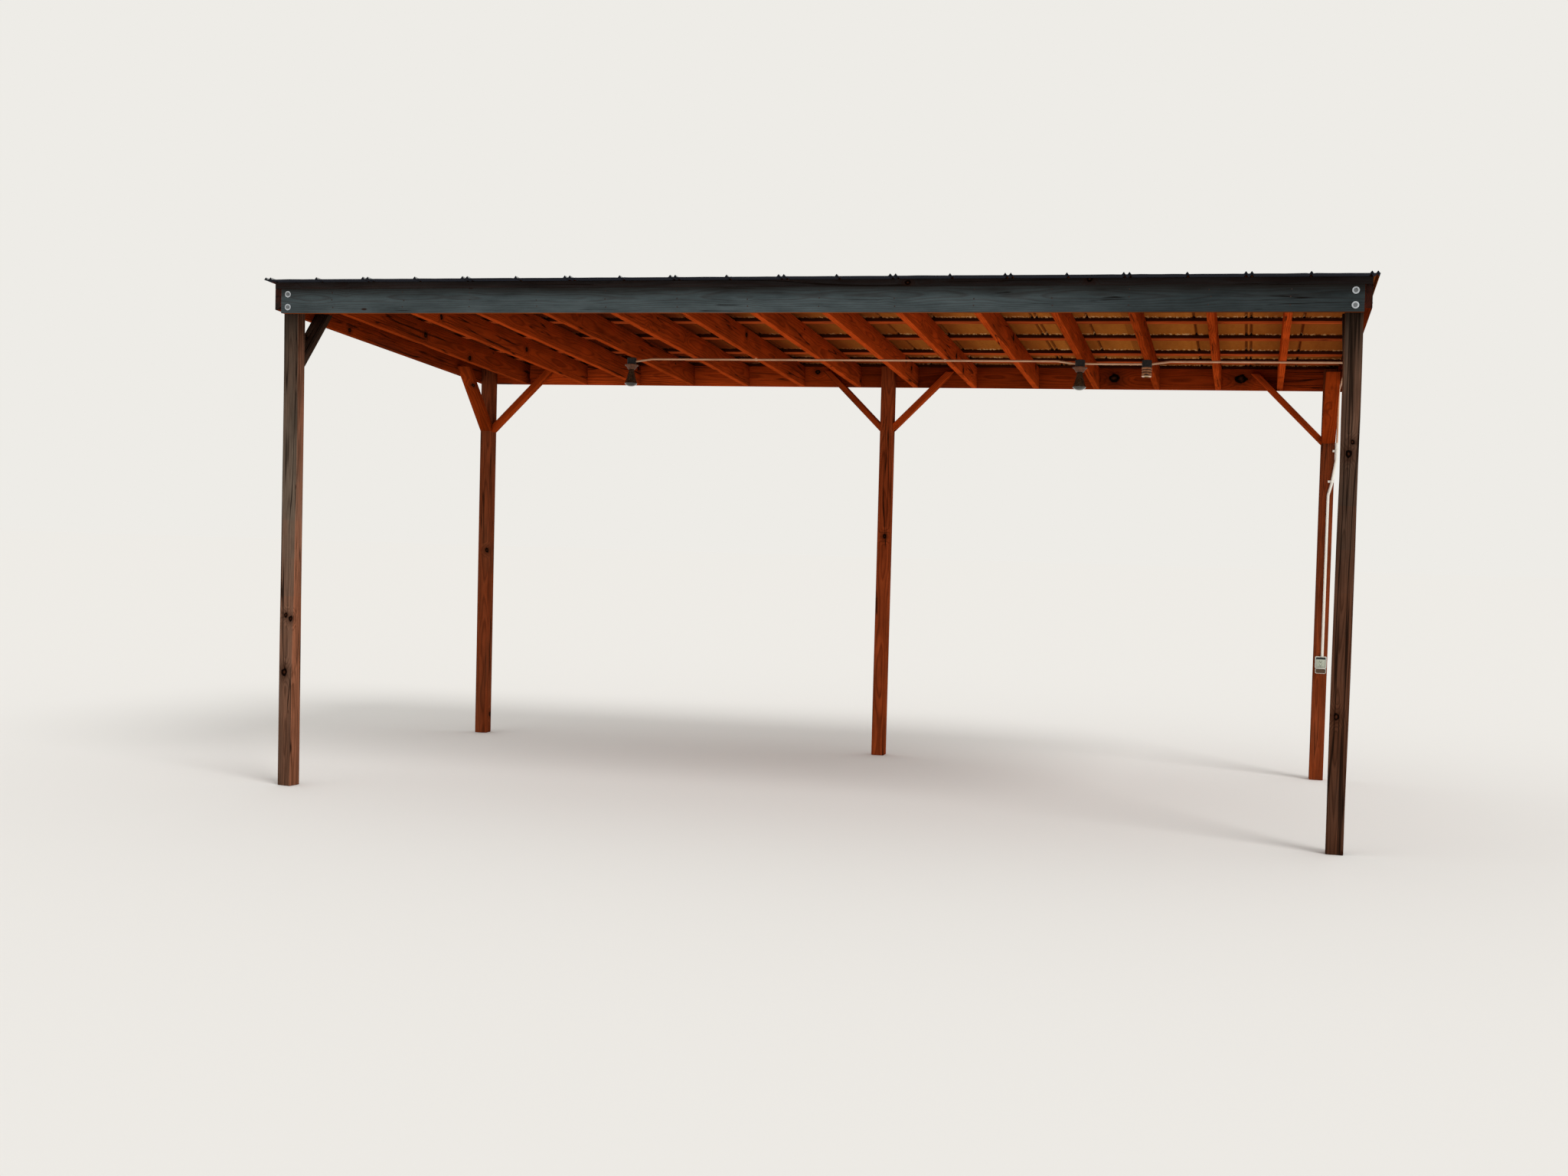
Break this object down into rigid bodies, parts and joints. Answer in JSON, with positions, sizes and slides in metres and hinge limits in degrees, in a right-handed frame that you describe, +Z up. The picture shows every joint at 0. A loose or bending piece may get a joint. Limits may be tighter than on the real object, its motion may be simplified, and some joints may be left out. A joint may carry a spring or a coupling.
{
  "type": "carport",
  "caption": "Open lean-to carport of timber posts, header and beam with knee braces, close rafters, flat purlins and a gently sloping crimped metal roof, lit by lamps under the rafters.",
  "frame": {"origin": "on level ground, midway between the outer faces of the corner posts and midway between the outer faces of the front and back posts", "axes": "+X to the right seen from the open, higher front; +Y from the front towards the lower back; +Z up"},
  "size_m": [6.154, 3.2089, 2.9571],
  "materials": {
    "post_timber": "treated pine, weathered brown, matte",
    "header_timber": "treated pine, weathered blue-grey, matte",
    "frame_timber": "treated pine, red-brown, matte",
    "purlin_timber": "treated pine, orange-brown, matte",
    "roofing": "galvanised, dulled by weather",
    "conduit": "light grey, satin",
    "lamp_box": "dark, matte",
    "porcelain": "glazed off-white",
    "bulb_glass": "frosted, silvered inside",
    "outlet": "light grey, satin"
  },
  "bodies": {
    "root": {"post_front_left": "post_timber", "post_front_right": "post_timber", "post_back_left": "post_timber", "post_back_middle": "post_timber", "post_back_right": "post_timber", "front_header": "header_timber", "eave_strip": "frame_timber", "back_beam": "frame_timber", "end_rafter_left": "frame_timber", "end_rafter_right": "frame_timber", "rafter_01": "frame_timber", "rafter_02": "frame_timber", "rafter_03": "frame_timber", "rafter_04": "frame_timber", "rafter_05": "frame_timber", "rafter_06": "frame_timber", "rafter_07": "frame_timber", "rafter_08": "frame_timber", "rafter_09": "frame_timber", "rafter_10": "frame_timber", "rafter_11": "frame_timber", "rafter_12": "frame_timber", "rafter_13": "frame_timber", "rafter_14": "frame_timber", "beam_brace_left": "frame_timber", "beam_brace_middle_left": "frame_timber", "beam_brace_middle_right": "frame_timber", "beam_brace_right": "frame_timber", "side_brace_front_left": "frame_timber", "side_brace_front_right": "frame_timber", "side_brace_back_left": "frame_timber", "side_brace_back_right": "frame_timber", "purlin_1": "purlin_timber", "purlin_2": "purlin_timber", "purlin_3": "purlin_timber", "purlin_4": "purlin_timber", "purlin_5": "purlin_timber", "purlin_6": "purlin_timber", "roof_sheet_01": "roofing", "roof_sheet_02": "roofing", "roof_sheet_03": "roofing", "roof_sheet_04": "roofing", "roof_sheet_05": "roofing", "roof_sheet_06": "roofing", "roof_sheet_07": "roofing", "roof_sheet_08": "roofing", "roof_sheet_09": "roofing", "roof_sheet_10": "roofing", "conduit_run": "conduit", "conduit_drop": "conduit", "lamp_boxes": "lamp_box", "lampholders": "porcelain", "flood_bulbs": "bulb_glass", "outlet_box": "outlet"}
  },
  "joints": []
}
